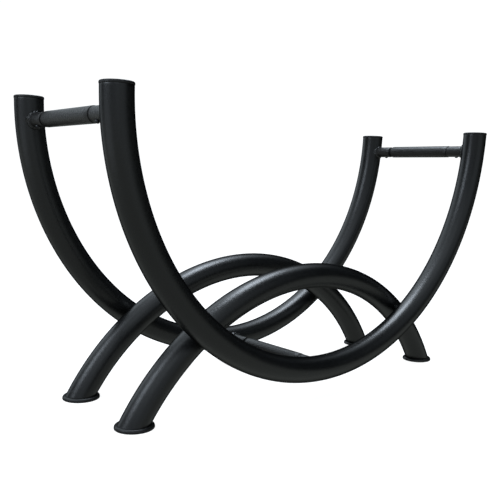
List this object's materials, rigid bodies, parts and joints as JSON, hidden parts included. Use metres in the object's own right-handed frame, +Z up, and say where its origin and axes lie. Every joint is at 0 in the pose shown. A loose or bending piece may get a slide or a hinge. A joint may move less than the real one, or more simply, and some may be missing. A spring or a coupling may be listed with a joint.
{
  "type": "firewood log rack",
  "caption": "Freestanding log rack: two U-shaped tube cradles on arched tube legs, joined by crossbars, with capped ends and oval feet.",
  "frame": {"origin": "on the floor, under the middle of the rack", "axes": "+X along the rack, from its left end to its right end; +Y across it, from the front frame to the rear frame; +Z up"},
  "size_m": [1.0198, 0.3458, 0.5478],
  "materials": {
    "painted_steel": "fine-textured matte black powder coat on steel tube",
    "painted_weld": "the same black powder coat, over rough weld beads",
    "cap_plastic": "moulded black plastic, satin",
    "black_screw": "black zinc plated steel"
  },
  "bodies": {
    "root": {"front_cradle_tube": "painted_steel", "front_leg_tube": "painted_steel", "front_left_top_cap": "cap_plastic", "front_left_foot": "cap_plastic", "front_left_leg_weld": "painted_weld", "front_right_top_cap": "cap_plastic", "front_right_foot": "cap_plastic", "front_right_leg_weld": "painted_weld", "front_left_stub": "painted_steel", "front_left_stub_weld": "painted_weld", "front_left_screw": "black_screw", "front_right_stub": "painted_steel", "front_right_stub_weld": "painted_weld", "front_right_screw": "black_screw", "front_bottom_stub": "painted_steel", "front_bottom_stub_weld": "painted_weld", "front_bottom_screw": "black_screw", "rear_cradle_tube": "painted_steel", "rear_leg_tube": "painted_steel", "rear_left_top_cap": "cap_plastic", "rear_left_foot": "cap_plastic", "rear_left_leg_weld": "painted_weld", "rear_right_top_cap": "cap_plastic", "rear_right_foot": "cap_plastic", "rear_right_leg_weld": "painted_weld", "rear_left_stub": "painted_steel", "rear_left_stub_weld": "painted_weld", "rear_left_screw": "black_screw", "rear_right_stub": "painted_steel", "rear_right_stub_weld": "painted_weld", "rear_right_screw": "black_screw", "rear_bottom_stub": "painted_steel", "rear_bottom_stub_weld": "painted_weld", "rear_bottom_screw": "black_screw", "left_crossbar": "painted_steel", "right_crossbar": "painted_steel", "bottom_crossbar": "painted_steel"}
  },
  "joints": []
}
